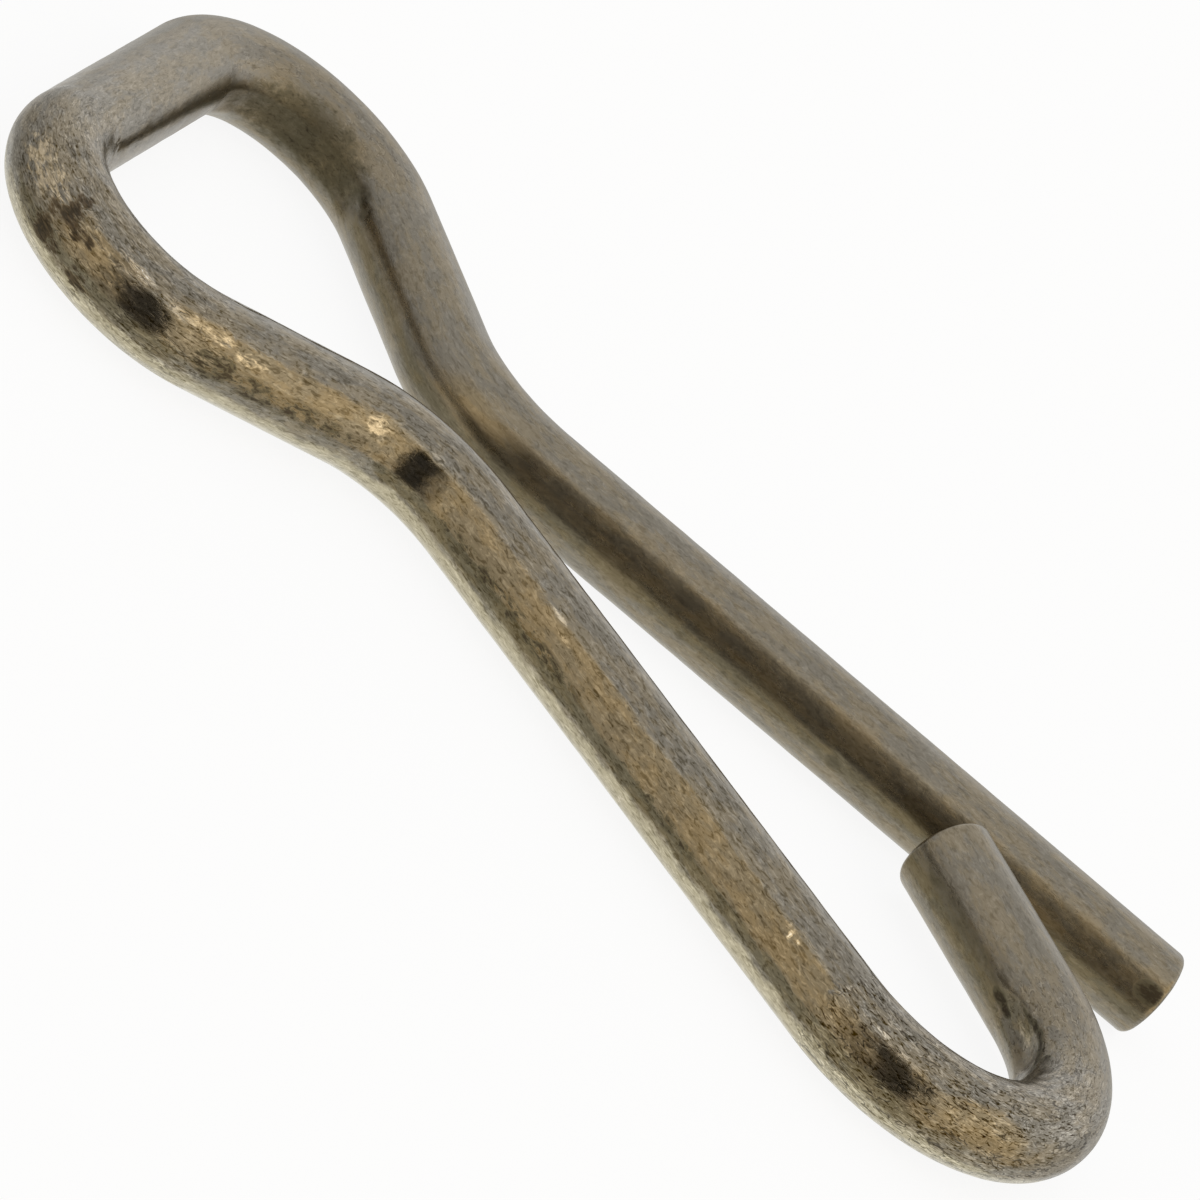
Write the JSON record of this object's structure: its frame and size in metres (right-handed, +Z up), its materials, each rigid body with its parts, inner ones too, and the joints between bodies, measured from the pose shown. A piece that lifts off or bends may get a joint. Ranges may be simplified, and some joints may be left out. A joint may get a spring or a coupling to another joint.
{
  "type": "cotter pin",
  "caption": "Bent round-wire cotter pin: a flat-ended bow narrows to a waist, then splays into a plain straight leg and a leg hooked back against it.",
  "frame": {"origin": "middle of the clip's footprint, on the surface that it lies on", "axes": "+X along the length from the bow to the hook, +Y towards the straight leg, +Z up from the surface"},
  "size_m": [0.0229, 0.0114, 0.0018],
  "materials": {
    "wire": "dull warm grey spring steel, mottled and finely scratched along the wire"
  },
  "bodies": {
    "root": {"cotter_pin": "wire"}
  },
  "joints": []
}
